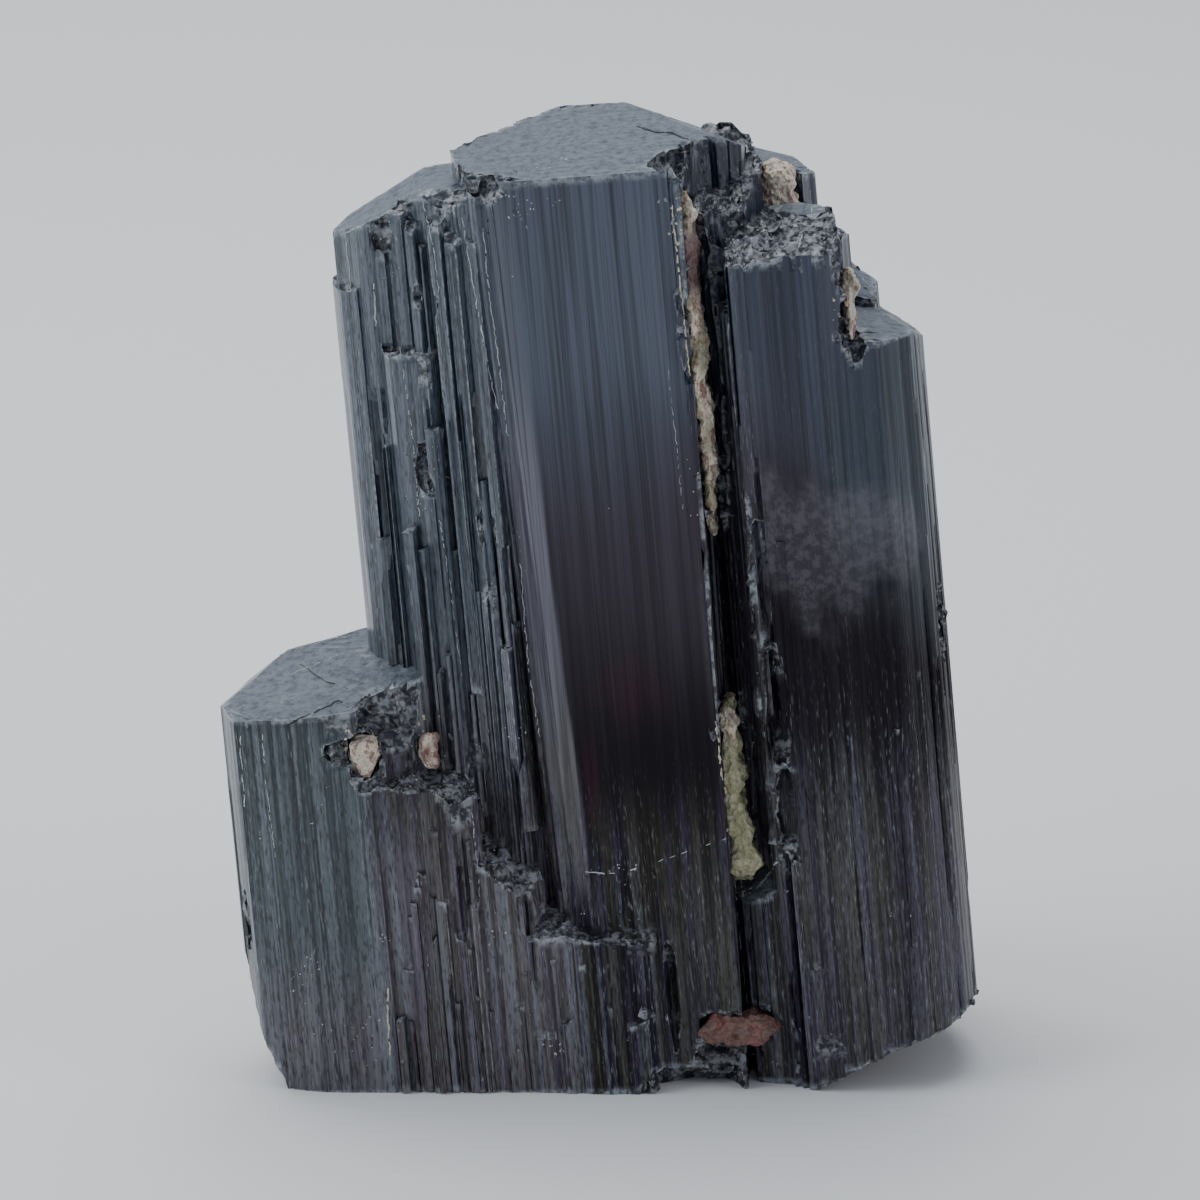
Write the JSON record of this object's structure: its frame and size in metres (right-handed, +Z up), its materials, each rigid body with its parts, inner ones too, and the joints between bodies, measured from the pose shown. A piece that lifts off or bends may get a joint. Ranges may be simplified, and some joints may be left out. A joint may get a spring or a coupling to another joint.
{
  "type": "tourmaline crystal",
  "caption": "Black tourmaline hand specimen: ribbed prisms grown side by side, standing on a broken base, with feldspar seams.",
  "frame": {"origin": "middle of the bounding box, at the level of the broken base that the specimen stands on", "axes": "+Z up, close to the crystals' growth axis, which leans 5 degrees towards -X; the pictured side faces -Y, with +X to its right"},
  "size_m": [0.0528, 0.0286, 0.0667],
  "materials": {
    "tourmaline": "glassy black, striated along its length",
    "feldspar": "dull cream, grainy",
    "iron_stain": "dull red-brown clay"
  },
  "bodies": {
    "root": {"tourmaline_crystals": "tourmaline", "feldspar_seam_upper": "feldspar", "feldspar_seam_lower": "feldspar", "feldspar_top_patch": "feldspar", "feldspar_edge_sliver": "feldspar", "feldspar_left_grain": "feldspar", "feldspar_right_grain": "feldspar", "iron_stained_patch": "iron_stain"}
  },
  "joints": []
}
